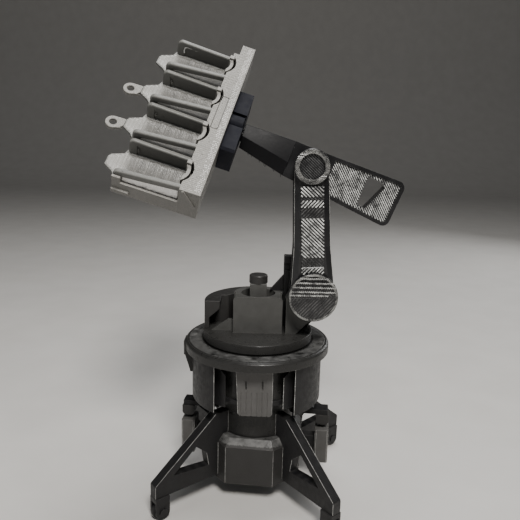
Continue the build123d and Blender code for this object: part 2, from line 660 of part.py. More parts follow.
# ---------------------------------------------------------------- rack
def rod_u(radius, v, w, u0, u1):
    """Cylinder lying along the rack's u axis."""
    return Pos((u0 + u1) / 2, v, w) * Rot(0, 90, 0) * Cylinder(radius, u1 - u0)


def cradle_v(index):
    return CRADLE_FIRST_V + index * CRADLE_PITCH


def wrist_spigot():
    pin = rod_u(SPIGOT_R, 0, 0, BLOCK_BACK_U - GAP, SPINE_BACK + 0.1)
    return RACK * (pin + rod_u(SPIGOT_HEAD_R, 0, 0, SPINE_BACK + 0.1, SPINE_BACK + 1.0))


def wrist_block():
    body = block(BLOCK_BACK_U, SPINE_BACK, -WRIST_HALF_V, WRIST_HALF_V, WRIST_LOW_W, WRIST_HIGH_W)
    body = chamfer(body.edges().filter_by(Axis.X), 0.5)
    notch_half = 1.9
    body -= block(BLOCK_BACK_U, SPINE_BACK, -notch_half, notch_half, 2.7, WRIST_HIGH_W)
    body += rod_u(1.65, 0, 2.95, BLOCK_BACK_U + 0.2, SPINE_BACK)
    return RACK * (body - rod_u(SPIGOT_R + RUN, 0, 0, BLOCK_BACK_U, SPINE_BACK))


def rack_spine():
    spine = block(SPINE_BACK, 0, SPINE_TOP_V, SPINE_END_V, RACK_LOW_W, RACK_HIGH_W)
    spine -= rod_u(SPIGOT_HEAD_R + 0.2, 0, 0, SPINE_BACK, SPINE_BACK + 1.3)
    for k in range(CRADLES):
        middle = cradle_v(k) + CRADLE_W / 2 + 0.7
        spine -= rod(3.9, 2.6, RACK_HIGH_W, 2.6, middle)
    spine -= block(-1.2, 0, SPINE_TOP_V, -16.9, 0.4, RACK_HIGH_W)
    outline = block(-2.6, -1.0, -3.2, 6.25, RACK_HIGH_W - 0.15, RACK_HIGH_W)
    outline = fillet(outline.edges().filter_by(Axis.Z), 0.5)
    inner = block(-2.45, -1.15, -3.05, 6.1, RACK_HIGH_W - 0.15, RACK_HIGH_W)
    inner = fillet(inner.edges().filter_by(Axis.Z), 0.4)
    spine -= outline - inner
    spine = spine.solid()
    rib_points = [(-0.5, RACK_HIGH_W - 0.3), (-0.9, RACK_HIGH_W - 0.1), (-3.6, 2.0), (-3.2, 1.8)]
    rib = slab_xz(rib_points, SPINE_END_V, SPINE_END_V + 0.25)
    return RACK * (spine + rib)


def end_stops():
    """Small hooked stops, one standing at the spine end of each cradle."""
    parts = []
    for k in range(CRADLES):
        v = cradle_v(k)
        ring = rod(3.3, 2.6, 5.8, 2.6, v + 5.8) - rod(2.6, 2.6, 5.8, 2.6, v + 5.8)
        stop = ring & block(-1.2, 0.5, v + 3.6, v + 8.4, 2.6, 5.8)
        stop += block(-0.5, 0.5, v + 3.4, v + 4.4, 2.6, 6.4)
        parts.append(RACK * stop)
    return parts


def trough_floor(v):
    """Concave floor section, thick enough to reach the rack's underside."""
    left = (v + CHEEK_T, FLOOR_LEFT_W)
    bottom = (v + CRADLE_W / 2, FLOOR_MIDDLE_W)
    right = (v + CRADLE_W - CHEEK_T, FLOOR_RIGHT_W)
    path = Polyline(left, (v + 0.1, FLOOR_LEFT_W), (v + 0.1, RACK_LOW_W), (v + CRADLE_W - 0.1, RACK_LOW_W),
                    (v + CRADLE_W - 0.1, FLOOR_RIGHT_W), right) + ThreePointArc(right, bottom, left)
    plane = Plane(origin=(0, 0, 0), x_dir=(0, 1, 0), z_dir=(1, 0, 0))
    return extrude(plane * make_face(path.edges()), TONGUE_LEN)


def cheek(v, w_in, w_out):
    """Side wall with a rounded rim along its top and its outer end, recessed on both faces inside the rim."""
    v1 = v + CHEEK_T
    outline = [(0, RACK_LOW_W), (CRADLE_LEN, RACK_LOW_W), (CRADLE_LEN, w_out), (0, w_in)]
    wall = slab_xz(outline, v, v1)
    corner = [e for e in wall.edges().filter_by(Axis.Y) if e.center().X > 1 and e.center().Z > 0]
    wall = fillet(corner, CHEEK_CORNER)
    rim = [e for e in wall.edges() if e.center().Z > 0 and e.center().X > 1 and not abs(e.tangent_at(0.5).Y) > 0.5]
    wall = fillet(rim, CHEEK_RIM_ROUND)
    inner_u = CRADLE_LEN - CHEEK_POST
    panel = [(0, RACK_LOW_W), (inner_u, RACK_LOW_W), (inner_u, w_out - CHEEK_RIM), (0, w_in - CHEEK_RIM)]
    for y in (v, v1 - CHEEK_RECESS):
        wall -= slab_xz(panel, y, y + CHEEK_RECESS)
    return wall


def cradle(index):
    v = cradle_v(index)
    tongue = [(0, v), (CRADLE_LEN, v + 0.3), (13.7, v + 1.6), (TONGUE_LEN - 0.4, v + 2.6), (TONGUE_LEN, v + 3.2),
              (TONGUE_LEN, v + 5.2), (14.6, v + 6.6), (CRADLE_LEN, v + 9.0), (CRADLE_LEN - 0.6, v + CRADLE_W),
              (0, v + CRADLE_W)]
    floor = trough_floor(v) & slab_xy(tongue, RACK_LOW_W, RACK_HIGH_W)
    upper = cheek(v + 0.1, 3.15, 3.45)
    lower = cheek(v + CRADLE_W - 0.1 - CHEEK_T, 5.75, 4.25)
    return RACK * (floor + upper + lower)


def eye_link(index):
    """Flat tapered link with an eye, on the tip of a cradle's tongue."""
    v = cradle_v(index)
    z0, z1 = RACK_LOW_W, RACK_LOW_W + EYE_T
    tip = TONGUE_LEN
    arm = slab_xy([(tip, v + 3.3), (EYE_U, v + EYE_V - EYE_R), (EYE_U, v + EYE_V + EYE_R), (tip, v + 5.9)], z0, z1)
    arm -= slab_xy([(tip, v + 5.2), (tip, v + 5.9), (tip + 0.6, v + 5.9)], z0, z1)
    link = arm + rod(EYE_R, z0, z1, EYE_U, v + EYE_V) - rod(EYE_HOLE_R, z0, z1, EYE_U, v + EYE_V)
    return RACK * link


def rack_end_frame():
    """Edge frame over the last cradle's outer side, with a long window."""
    v0 = cradle_v(CRADLES - 1) + CRADLE_W
    band = block(0, CRADLE_LEN, v0, SPINE_END_V, RACK_LOW_W, 1.9)
    post = block(11.4, CRADLE_LEN, v0, SPINE_END_V, 1.9, 3.4)
    lip = block(9.6, CRADLE_LEN, SPINE_END_V, SPINE_END_V + 0.5, -0.9, 0.1)
    return RACK * (band + post + lip)


# ---------------------------------------------------------------- node list
def build_nodes():
    nodes = {
        "base_housing": base_housing(), "base_cover": base_cover(),
        "cover_screws": cover_screws(), "base_core": base_core(), "drum_floor": drum_floor(),
        "drum_shell_left": drum_shell(-1), "drum_shell_right": drum_shell(1),
        "drum_liner_left": drum_liner(-1), "drum_liner_right": drum_liner(1),
        "front_plate": front_plate(), "front_plate_bracket": front_plate_bracket(),
        "flange_ring": flange_ring(), "king_pin": king_pin(), "pin_collar": pin_collar(),
        "thrust_washer": thrust_washer(), "turntable_disc": turntable_disc(),
        "turntable_bush": turntable_bush(), "turret_wall": turret_wall(),
        "centre_block": centre_block(), "shoulder_ear": shoulder_ear(), "bracket_post": bracket_post(),
        "post_gusset": post_gusset(), "shoulder_axle": shoulder_axle(), "link_front": link_front(),
        "link_rear": link_rear(), "link_web": link_web(), "link_panel": link_panel(),
        "shoulder_cap": shoulder_cap(), "elbow_pin": elbow_pin(), "elbow_clip": elbow_clip(),
        "boom_tail": boom_tail(), "boom_neck": boom_neck(), "wrist_spigot": wrist_spigot(),
        "wrist_block": wrist_block(), "rack_spine": rack_spine(), "end_stops": end_stops(),
        "rack_end_frame": rack_end_frame(),
    }
    for side, name in ((-1, "left"), (1, "right")):
        nodes["jack_body_" + name] = jack_body(side)
        nodes["jack_rod_" + name] = jack_rod(side)
        nodes["jack_arm_" + name] = jack_arm(side)
    nodes["jack_stays"] = [jack_stay(-1), jack_stay(1)]
    for k in range(CRADLES):
        nodes["cradle_%d" % (k + 1)] = cradle(k)
    nodes["eye_links"] = [eye_link(k) for k in EYE_CRADLES]
    nodes["castor_axles"] = [castor_axle(k) for k in range(4)]
    nodes["castor_forks"] = [castor_fork(k) for k in range(4)]
    for k in range(4):
        nodes["leg_%d" % (k + 1)] = leg(k)
        nodes["castor_wheel_%d" % (k + 1)] = castor_wheel(k)
    return nodes


def main():
    os.makedirs("parts", exist_ok=True)
    for name, shape in build_nodes().items():
        if isinstance(shape, list):
            shape = Compound(children=[piece.solid() for piece in shape])
        export_step(shape, "parts/%s.step" % name)


main()
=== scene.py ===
"""Looks of a small printed swing arm with a cradle rack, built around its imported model.

Lengths are in metres, in the model's own frame: +Z up, the front faces -Y, and the origin is on the
turntable axis.
"""
import json
import math
import random

import bmesh
import bpy
from mathutils import Matrix, Vector
from mathutils.bvhtree import BVHTree
from mathutils.noise import noise


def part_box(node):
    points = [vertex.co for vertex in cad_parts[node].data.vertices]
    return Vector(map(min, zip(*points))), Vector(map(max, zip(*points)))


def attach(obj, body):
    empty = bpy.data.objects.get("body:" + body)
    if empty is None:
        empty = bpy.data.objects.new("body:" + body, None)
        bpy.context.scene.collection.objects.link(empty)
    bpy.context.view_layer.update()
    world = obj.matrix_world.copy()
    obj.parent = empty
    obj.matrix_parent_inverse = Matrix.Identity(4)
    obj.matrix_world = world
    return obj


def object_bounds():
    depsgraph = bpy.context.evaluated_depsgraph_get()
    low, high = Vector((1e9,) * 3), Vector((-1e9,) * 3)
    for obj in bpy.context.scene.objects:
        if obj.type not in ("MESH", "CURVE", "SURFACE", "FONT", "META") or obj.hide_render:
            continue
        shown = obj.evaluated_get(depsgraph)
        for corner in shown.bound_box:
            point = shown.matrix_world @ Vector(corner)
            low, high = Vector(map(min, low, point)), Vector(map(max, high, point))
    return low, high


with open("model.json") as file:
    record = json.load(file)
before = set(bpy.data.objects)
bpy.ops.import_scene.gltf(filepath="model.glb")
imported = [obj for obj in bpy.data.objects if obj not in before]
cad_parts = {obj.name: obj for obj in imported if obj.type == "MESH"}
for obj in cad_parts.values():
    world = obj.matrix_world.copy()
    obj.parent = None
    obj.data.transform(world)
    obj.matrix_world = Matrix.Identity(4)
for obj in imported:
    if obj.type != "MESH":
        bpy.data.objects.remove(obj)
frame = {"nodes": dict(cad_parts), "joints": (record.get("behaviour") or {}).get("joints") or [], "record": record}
CAD_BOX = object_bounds()
NODES = frame["nodes"]
RECORD = frame["record"]
JOINTS = {joint["name"]: joint for joint in frame["joints"]}
MOUNTS = {mount["name"]: mount for mount in RECORD["mounts"]}
BODY_OF = {n: body for body, members in RECORD["behaviour"]["bodies"].items() for n in members}
SLOT_OF = {part["node"]: part["material_slot"] for part in RECORD["subparts"]}

MM = 0.001
SEED = 7
LINE_PITCH = 0.43 * MM      # printed lines lie this far apart
WIDE_PITCH = 0.56 * MM      # the same on the link and its cap, drawn coarser so that they can be read
LINE_HALF_WIDTH = 0.27      # of a printed line, in pitches
LINE_INSET = 0.16 * MM      # printed lines stop this far inside the edge of a face
PANEL_INSET = 0.05 * MM     # the same on the link's panel
LINE_SINK = 0.04 * MM       # printed lines reach this far into their face
SHORT_LINE = 0.25 * MM      # printed lines shorter than this are left out
PARALLEL = 0.9995           # cosine from which two directions count as the same
SHARP = 0.8                 # cosine below which the faces beside an edge make it a sharp one
FACE_STEP = 0.02 * MM       # flat faces closer than this in height count as one
CORNER_STEP = 0.005 * MM    # triangles whose corners are closer than this touch
SPAN_GAP = 0.01 * MM        # gaps in a line smaller than this are closed
WELD = 0.002 * MM           # corners closer than this are one
SKIN = 0.1 * MM             # thickness of the rough skins
LAYER = 0.2 * MM            # height of a printed layer
RACK_LAYER = 0.3 * MM       # the same on the rack
RIB_PITCH = 2.3 * MM        # broad ribs in the troughs lie this far apart
SHORT_EDGE = 1.2 * MM       # edges shorter than this get no painted highlight line
STRAND_SIDES = 5

# smallest flat faces that carry printed lines: on panels and caps, on the rack, on the arm's plates
SMALL_FACE = 1.0 * MM * MM
RACK_FACE = 6 * MM * MM
BIG_FACE = 8 * MM * MM

X_AXIS = Vector((1, 0, 0))
Y_AXIS = Vector((0, 1, 0))
Z_AXIS = Vector((0, 0, 1))

# axes of the rack: out of the spine, down the spine, and out of the open side
RACK_OUT = Vector(JOINTS["wrist_roll"]["axis"]).normalized()
RACK_OPEN = Vector(MOUNTS["eyelet_1"]["axis"]).normalized()
RACK_DOWN = RACK_OPEN.cross(RACK_OUT).normalized()
RACK_MIDDLE = Vector(JOINTS["wrist_roll"]["pos_m"])
FIN_START = RACK_MIDDLE.dot(RACK_OUT) + 16.5 * MM       # the cradles' tips, painted lighter as painted light, begin here along RACK_OUT
SHOULDER = Vector(JOINTS["shoulder"]["pos_m"])
ELBOW = Vector(JOINTS["elbow"]["pos_m"])
CRADLES = ["cradle_%d" % k for k in range(1, 5)]


# ---------------------------------------------------------------- camera, lights and floor
CAMERA_PLACE = (0.00023, -0.12817, 0.07868)
CAMERA_PITCH = 12.25        # degrees below level
CAMERA_ROLL = 1.38          # degrees
FOCAL_IN_WIDTHS = 1.0916    # focal length over sensor width


def make_camera():
    pitch = math.radians(CAMERA_PITCH)
    roll = math.radians(CAMERA_ROLL)
    data = bpy.data.cameras.new("camera")
    data.sensor_width = 36.0
    data.lens = data.sensor_width * FOCAL_IN_WIDTHS
    data.clip_start = 0.005
    data.clip_end = 20.0
    forward = Vector((0, math.cos(pitch), -math.sin(pitch)))
    level_up = Vector((0, math.sin(pitch), math.cos(pitch)))
    right = math.cos(roll) * X_AXIS + math.sin(roll) * level_up
    up = math.cos(roll) * level_up - math.sin(roll) * X_AXIS
    camera = bpy.data.objects.new("camera", data)
    turn = Matrix((right, up, -forward)).transposed().to_4x4()
    camera.matrix_world = Matrix.Translation(CAMERA_PLACE) @ turn
    bpy.context.scene.collection.objects.link(camera)
    bpy.context.scene.camera = camera


def area_light(name, place, target, size, power, colour=(1, 1, 1)):
    data = bpy.data.lights.new(name, "AREA")
    data.shape = "DISK"
    data.size = size
    data.energy = power
    data.color = colour
    light = bpy.data.objects.new(name, data)
    light.location = place
    light.rotation_euler = (Vector(target) - Vector(place)).to_track_quat("-Z", "Y").to_euler()
    bpy.context.scene.collection.objects.link(light)


def make_studio():
    middle = (0, 0, 0.055)
    area_light("key", (0.05, -0.26, 0.34), middle, size=0.11, power=1.75, colour=(1.0, 0.97, 0.93))
    area_light("fill", (-0.30, -0.20, 0.12), middle, size=0.22, power=0.10, colour=(0.93, 0.96, 1.0))
    area_light("top", (0.02, 0.05, 0.40), middle, size=0.16, power=0.75)
    area_light("rim", (0.24, 0.28, 0.18), middle, size=0.20, power=0.3)
    world = bpy.data.worlds.new("studio")
    world.use_nodes = True
    background = world.node_tree.nodes["Background"]
    background.inputs["Color"].default_value = (0.86, 0.88, 0.9, 1)
    background.inputs["Strength"].default_value = 0.06
    bpy.context.scene.world = world


def make_floor():
    """A pale sheet that lies under the object and sweeps up behind it."""
    low = CAD_BOX[0][2]
    half_width, front, back, height, bend = 1.6, -1.2, 0.75, 1.3, 0.35
    steps = 16
    profile = [(front, low)]
    for i in range(steps + 1):
        angle = math.pi / 2 * i / steps
        profile.append((back + bend * math.sin(angle), low + bend * (1 - math.cos(angle))))
    profile.append((back + bend, low + height))
    mesh = bpy.data.meshes.new("floor")
    verts = [(side * half_width, y, z) for y, z in profile for side in (-1, 1)]
    faces = [(2 * i, 2 * i + 1, 2 * i + 3, 2 * i + 2) for i in range(len(profile) - 1)]
    mesh.from_pydata(verts, [], faces)
    floor = bpy.data.objects.new("floor", mesh)
    bpy.context.scene.collection.objects.link(floor)
    for polygon in mesh.polygons:
        polygon.use_smooth = True
    floor.data.materials.append(floor_material())


def floor_material():
    shade = Shade("pale_floor")
    grain = shade.noise(60, 4)
    shade.set_colour(shade.ramp(grain, (0.3, (0.60, 0.585, 0.56)), (0.7, (0.64, 0.625, 0.60))))
    shade.set_value("Roughness", 0.75)
    return shade.material


# ---------------------------------------------------------------- materials
class Shade:
    """A node material on object coordinates, with short calls for the nodes used here."""

    def __init__(self, name):
        self.material = bpy.data.materials.new(name)
        self.material.use_nodes = True
        self.tree = self.material.node_tree
        self.principled = self.tree.nodes["Principled BSDF"]
        self.place = self.tree.nodes.new("ShaderNodeTexCoord").outputs["Object"]

    def node(self, kind, **values):
        made = self.tree.nodes.new(kind)
        for key, value in values.items():
            setattr(made, key, value)
        return made

    def link(self, source, target):
        self.tree.links.new(source, target)

    def noise(self, scale, detail=2.0, roughness=0.5, place=None):
        made = self.node("ShaderNodeTexNoise")
        made.inputs["Scale"].default_value = scale
        made.inputs["Detail"].default_value = detail
        made.inputs["Roughness"].default_value = roughness
        self.link(place or self.place, made.inputs["Vector"])
        return made.outputs["Fac"]

    def stretched(self, scales):
        made = self.node("ShaderNodeMapping")
        made.inputs["Scale"].default_value = scales
        self.link(self.place, made.inputs["Vector"])
        return made.outputs["Vector"]

    def along(self, direction):
        """Distance in metres along a direction."""
        made = self.node("ShaderNodeVectorMath", operation="DOT_PRODUCT")
        made.inputs[1].default_value = direction
        self.link(self.place, made.inputs[0])
        return made.outputs["Value"]

    def facing(self, direction):
        """1 on faces that look along a direction and -1 on those that look the other way."""
        made = self.node("ShaderNodeVectorMath", operation="DOT_PRODUCT")
        made.inputs[1].default_value = direction
        self.link(self.tree.nodes.new("ShaderNodeTexCoord").outputs["Normal"], made.inputs[0])
        return made.outputs["Value"]

    def maths(self, operation, first, second=None):
        made = self.node("ShaderNodeMath", operation=operation)
        for socket, value in zip(made.inputs, (first, second)):
            if isinstance(value, (int, float)):
                socket.default_value = value
            elif value is not None:
                self.link(value, socket)
        return made.outputs["Value"]

    def times(self, first, second):
        return self.maths("MULTIPLY", first, second)

    def layers(self, direction, pitch, wobble=0.25):
        """Evenly spaced printed lines across a direction, from 0 to 1."""
        turns = self.times(self.along(direction), 2 * math.pi / pitch)
        uneven = self.times(self.noise(900, 2), wobble * 2 * math.pi)
        wave = self.maths("SINE", self.maths("ADD", turns, uneven))
        return self.maths("ADD", self.times(wave, 0.5), 0.5)

    def ramp(self, value, *stops):
        made = self.node("ShaderNodeValToRGB")
        elements = made.color_ramp.elements
        while len(elements) < len(stops):
            elements.new(0.5)
        for element, (at, colour) in zip(elements, stops):
            element.position = at
            element.color = (*colour, 1) if hasattr(colour, "__len__") else (colour, colour, colour, 1)
        self.link(value, made.inputs["Fac"])
        return made.outputs["Color"]

    def blend(self, factor, first, second, mode="MIX"):
        made = self.node("ShaderNodeMix", data_type="RGBA", blend_type=mode)
        for index, value in ((0, factor), (6, first), (7, second)):
            if hasattr(value, "is_linked"):
                self.link(value, made.inputs[index])
            elif index:
                made.inputs[index].default_value = (*value, 1)
            else:
                made.inputs[index].default_value = value
        return made.outputs[2]

    def edges(self, radius):
        """1 on sharp edges and 0 on flat ground."""
        bevel = self.node("ShaderNodeBevel", samples=4)
        bevel.inputs["Radius"].default_value = radius
        surface = self.node("ShaderNodeNewGeometry")
        dot = self.node("ShaderNodeVectorMath", operation="DOT_PRODUCT")
        self.link(bevel.outputs["Normal"], dot.inputs[0])
        self.link(surface.outputs["Normal"], dot.inputs[1])
        return self.ramp(dot.outputs["Value"], (0.80, 1.0), (0.985, 0.0))

    def set_colour(self, colour):
        self.link(colour, self.principled.inputs["Base Color"])

    def set_roughness(self, value):
        self.link(value, self.principled.inputs["Roughness"])

    def set_value(self, socket, value):
        self.principled.inputs[socket].default_value = value

    def bump(self, *heights):
        """Each height is (value, depth in metres)."""
        normal = None
        for value, depth in heights:
            made = self.node("ShaderNodeBump")
            made.inputs["Strength"].default_value = 1.0
            made.inputs["Distance"].default_value = depth
            self.link(value, made.inputs["Height"])
            if normal is not None:
                self.link(normal, made.inputs["Normal"])
            normal = made.outputs["Normal"]
        self.link(normal, self.principled.inputs["Normal"])


def tint(colour, factor):
    return tuple(factor * c for c in colour)


def pale_tint(colour, factor):
    """A lighter colour that stays within white."""
    return tuple(min(1.0, c) for c in tint(colour, factor))


def dark_print(name, colour, edge_colour, roughness, layer_axis, specular=0.3, mottle=(0.85, 1.15)):
    """Dark printed plastic: fine layers, faint mottling and a painted highlight in patches along its edges."""
    shade = Shade(name)
    mottled = shade.noise(450, 4, 0.6)
    fine = shade.noise(5200, 3, 0.6)
    layers = shade.layers(layer_axis, LAYER)
    dark, pale = (tint(colour, factor) for factor in mottle)
    ground = shade.ramp(mottled, (0.32, dark), (0.68, pale))
    ground = shade.blend(shade.times(layers, 0.22), ground, edge_colour)
    # painted highlight: sharp edges are blended in patches towards the paler edge colour
    highlight_patches = shade.ramp(shade.noise(1500, 3), (0.3, 0.15), (0.65, 0.8))
    edge_highlight = shade.times(shade.edges(0.13 * MM), highlight_patches)
    shade.set_colour(shade.blend(edge_highlight, ground, edge_colour))
    shade.set_value("Specular IOR Level", specular)
    spread = 0.12
    smooth, dull = roughness - spread, roughness + spread
    shade.set_roughness(shade.ramp(shade.noise(900, 3), (0.3, smooth), (0.7, dull)))
    shade.bump((layers, 0.014 * MM), (fine, 0.012 * MM))
    return shade.material


def gloss_print(name, colour, line_colour, roughness, layer_axis,
                glints=1.0, coat=0.25, layer_depth=0.006 * MM, specular=0.5):
    """Silky dark printed plastic with pale glints along its edges."""
    shade = Shade(name)
    soft = shade.noise(300, 3, 0.5)
    fine = shade.noise(6000, 2)
    glint = shade.ramp(shade.noise(2600, 3, 0.7), (0.46, 0.0), (0.64, 1.0))
    ground = shade.ramp(soft, (0.35, tint(colour, 0.8)), (0.7, tint(colour, 1.3)))
    # painted highlight: pale glints along the sharp edges
    edge_highlight = shade.times(shade.edges(0.12 * MM), shade.times(glint, glints))
    shade.set_colour(shade.blend(edge_highlight, ground, line_colour))
    shade.set_roughness(shade.ramp(soft, (0.3, roughness - 0.04), (0.7, roughness + 0.05)))
    shade.set_value("Coat Weight", coat)
    shade.set_value("Specular IOR Level", specular)
    shade.set_value("Coat Roughness", 0.2)
    shade.bump((shade.layers(layer_axis, LAYER, 0.1), layer_depth), (fine, 0.004 * MM))
    return shade.material


def line_print(name, low, high, roughness):
    """Raised surface lines of the silky plastic, which catch the light in patches."""
    shade = Shade(name)
    patches = shade.noise(500, 5, 0.7)
    glint = shade.noise(3800, 3, 0.7)
    ground = shade.ramp(patches, (0.40, low), (0.60, high))
    bright = shade.ramp(glint, (0.55, 0.0), (0.72, 0.8))
    shade.set_colour(shade.blend(bright, ground, pale_tint(high, 1.9)))
    shade.set_roughness(shade.ramp(glint, (0.3, roughness + 0.12), (0.7, roughness - 0.1)))
    shade.set_value("Coat Weight", 0.4)
    shade.set_value("Coat Roughness", 0.2)
    shade.bump((glint, 0.02 * MM))
    return shade.material


def grey_print(name, colour, roughness, grain=1.0, wall_shade=0.8, bands=0.0):
    """Pale grey printed plastic with fine speckle, small dark pits and layer lines across the rack, painted shade
    on its walls and a painted highlight on its edges.
    """
    shade = Shade(name)
    speckle = shade.noise(3400, 3, 0.7)
    cloud = shade.noise(260, 4, 0.6)
    pits = shade.ramp(shade.noise(1500, 2, 0.4), (0.24, 1.0), (0.30, 0.0))
    layers = shade.layers(RACK_OUT, RACK_LAYER)
    ground = shade.ramp(cloud, (0.3, tint(colour, 0.80)), (0.7, tint(colour, 1.12)))
    fleck = shade.ramp(speckle, (0.36, tint(colour, 0.70)), (0.62, tint(colour, 1.25)))
    ground = shade.blend(0.5 * grain, ground, fleck)
    ground = shade.blend(shade.times(layers, 0.18 * grain), ground, tint(colour, 0.62))
    ground = shade.blend(shade.times(pits, 0.7), ground, tint(colour, 0.2))
    if bands:
        # painted shade: broad darker bands at the rib pitch stand for the shade of the troughs' ribs; the narrow
        # bands are print lines
        broad = shade.times(shade.layers(RACK_OUT, RIB_PITCH, 0.1), bands)
        ground = shade.blend(broad, ground, tint(colour, 0.45))
        narrow = shade.times(shade.layers(RACK_OUT, 0.46 * MM, 0.2), bands)
        ground = shade.blend(narrow, ground, tint(colour, 0.55))
        # painted light: the cradles' tips are blended lighter past FIN_START
        past = shade.maths("SUBTRACT", shade.along(RACK_OUT), FIN_START)
        tip_light = shade.ramp(shade.times(past, 300), (0.0, 0.0), (0.9, 1.0))
        ground = shade.blend(shade.times(tip_light, 0.75), ground, tint(colour, 1.7))
    sparks = shade.ramp(shade.noise(2300, 3, 0.75), (0.62, 0.0), (0.68, 1.0))
    ground = shade.blend(shade.times(sparks, 0.55 * grain), ground, pale_tint(colour, 2.3))
    # painted shade: faces that look across or along the rack are blended darker
    across, beside = (shade.maths("ABSOLUTE", shade.facing(axis)) for axis in (RACK_DOWN, RACK_OUT))
    steep = shade.maths("MAXIMUM", across, shade.times(beside, 0.75))
    walls = shade.ramp(steep, (0.55, 0.0), (0.9, 1.0))
    ground = shade.blend(shade.times(walls, wall_shade), ground, tint(colour, 0.36))
    # painted highlight: sharp edges are blended towards a paler tint
    edge_highlight = shade.times(shade.edges(0.15 * MM), 0.35)
    shade.set_colour(shade.blend(edge_highlight, ground, pale_tint(colour, 1.5)))
    shade.set_roughness(shade.ramp(speckle, (0.3, roughness + 0.1), (0.7, roughness - 0.1)))
    shade.bump((layers, 0.02 * MM * grain), (speckle, 0.03 * MM * grain), (pits, -0.05 * MM))
    return shade.material


def metal_screw():
    shade = Shade("steel")
    brushed = shade.noise(1, 2, 0.5, shade.stretched((400, 9000, 400)))
    shade.set_colour(shade.ramp(brushed, (0.3, 0.42), (0.7, 0.62)))
    shade.set_value("Metallic", 1.0)
    shade.set_roughness(shade.ramp(brushed, (0.3, 0.25), (0.7, 0.45)))
    shade.bump((brushed, 0.004 * MM))
    return shade.material


def make_materials():
    """Every look, under the name that it is painted by."""
    made = {}

    def add(maker, name, *values, **options):
        made[name] = maker(name, *values, **options)

    # colour, paler colour of the painted highlight on edges (and of the layer lines in dark_print), roughness,
    # layer axis
    add(dark_print, "black_print", (0.006, 0.006, 0.007), (0.075, 0.073, 0.07), 0.46, Z_AXIS)
    add(dark_print, "charcoal_print", (0.018, 0.0175, 0.017), (0.12, 0.115, 0.11), 0.42, Z_AXIS)
    add(dark_print, "dark_grey_print", (0.058, 0.058, 0.055), (0.15, 0.147, 0.14), 0.44, Z_AXIS)
    add(dark_print, "mid_grey_print", (0.070, 0.068, 0.066), (0.20, 0.195, 0.185), 0.46, Z_AXIS)
    add(dark_print, "blue_black_print", (0.010, 0.0105, 0.015), (0.03, 0.032, 0.042), 0.6, RACK_OUT,
        specular=0.12)
    add(dark_print, "flange_black", (0.008, 0.008, 0.008), (0.14, 0.138, 0.13), 0.34, Z_AXIS)
    add(dark_print, "rough_black", (0.045, 0.045, 0.044), (0.34, 0.34, 0.33), 0.38, Z_AXIS,
        specular=0.4, mottle=(0.2, 2.8))
    add(gloss_print, "gloss_black_print", (0.007, 0.007, 0.008), (0.22, 0.22, 0.22), 0.34, Y_AXIS)
    add(gloss_print, "neck_black", (0.005, 0.005, 0.006), (0.1, 0.1, 0.1), 0.42, Y_AXIS,
        glints=0.0, coat=0.0, layer_depth=0.0008 * MM, specular=0.12)
    # dark colour, pale colour, roughness; the pale colour is a painted highlight where the lines catch the light
    add(line_print, "edge_glint", (0.22, 0.22, 0.21), (0.55, 0.55, 0.53), 0.32)
    # painted sheen: pale lines that stand for light reflected by the ridges of the silky black plastic
    add(line_print, "silver_lines", (0.10, 0.102, 0.102), (0.80, 0.81, 0.79), 0.24)
    add(line_print, "dark_lines", (0.006, 0.006, 0.007), (0.07, 0.071, 0.072), 0.28)
    add(line_print, "cap_lines", (0.008, 0.008, 0.009), (0.075, 0.075, 0.075), 0.28)
    # painted sheen: dimmer pale lines for the light on the caps' rims
    add(line_print, "dark_silver", (0.02, 0.02, 0.02), (0.26, 0.26, 0.25), 0.28)
    add(line_print, "cap_steps", (0.10, 0.10, 0.10), (0.55, 0.55, 0.53), 0.24)
    # colour, roughness
    add(grey_print, "grey_print", (0.30, 0.292, 0.272), 0.48, grain=1.2)
    # painted shade: the cradles take a darker copy of the rack's grey for the shade on them
    add(grey_print, "cradle_grey", (0.19, 0.190, 0.178), 0.45, grain=0.5, wall_shade=0.75)
    # painted shade: a very dark copy of the rack's grey for the shade in the spine's groove
    add(grey_print, "seam_grey", (0.07, 0.068, 0.062), 0.5, grain=0.5, wall_shade=0.0)
    # painted light: a near-white copy of the rack's grey for the light on its rough faces, stitches and strings
    add(grey_print, "rough_grey", (0.93, 0.92, 0.90), 0.34, grain=0.8, wall_shade=0.0)
    # painted shade in broad bands on the trough floors, and painted light on the cradles' tips
    add(grey_print, "floor_grey", (0.25, 0.246, 0.232), 0.34, grain=1.6, wall_shade=0.0, bands=0.6)
    made["steel"] = metal_screw()
    return made


MATERIALS = make_materials()
OWN_LOOK = {
    "flange_ring": "flange_black", "base_core": "flange_black", "turntable_disc": "flange_black",
    # painted light: the housing and the turret wall take the paler charcoal look for the light on their faces
    "base_housing": "charcoal_print", "turret_wall": "charcoal_print",
    "boom_neck": "neck_black", "wrist_spigot": "neck_black",
}
# the cradles are painted in the darker grey as painted shade
OWN_LOOK.update({node: "cradle_grey" for node in CRADLES})


def paint(piece, material):
    piece.data.materials.clear()
    piece.data.materials.append(MATERIALS[material])


# ---------------------------------------------------------------- mesh helpers
def add_piece(name, bm, body, slot, material, outward=None):
    """Turns a bmesh into an object that rides on a body. An open skin's faces are turned outward."""
    bmesh.ops.recalc_face_normals(bm, faces=bm.faces[:])
    if outward is not None:
        bm.normal_update()
        if sum((face.normal * face.calc_area() for face in bm.faces), Vector()).dot(outward) < 0:
            bmesh.ops.reverse_faces(bm, faces=bm.faces[:])
    mesh = bpy.data.meshes.new(name)
    bm.to_mesh(mesh)
    bm.free()
    piece = bpy.data.objects.new(name, mesh)
    bpy.context.scene.collection.objects.link(piece)
    paint(piece, material)
    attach(piece, body)
    return piece


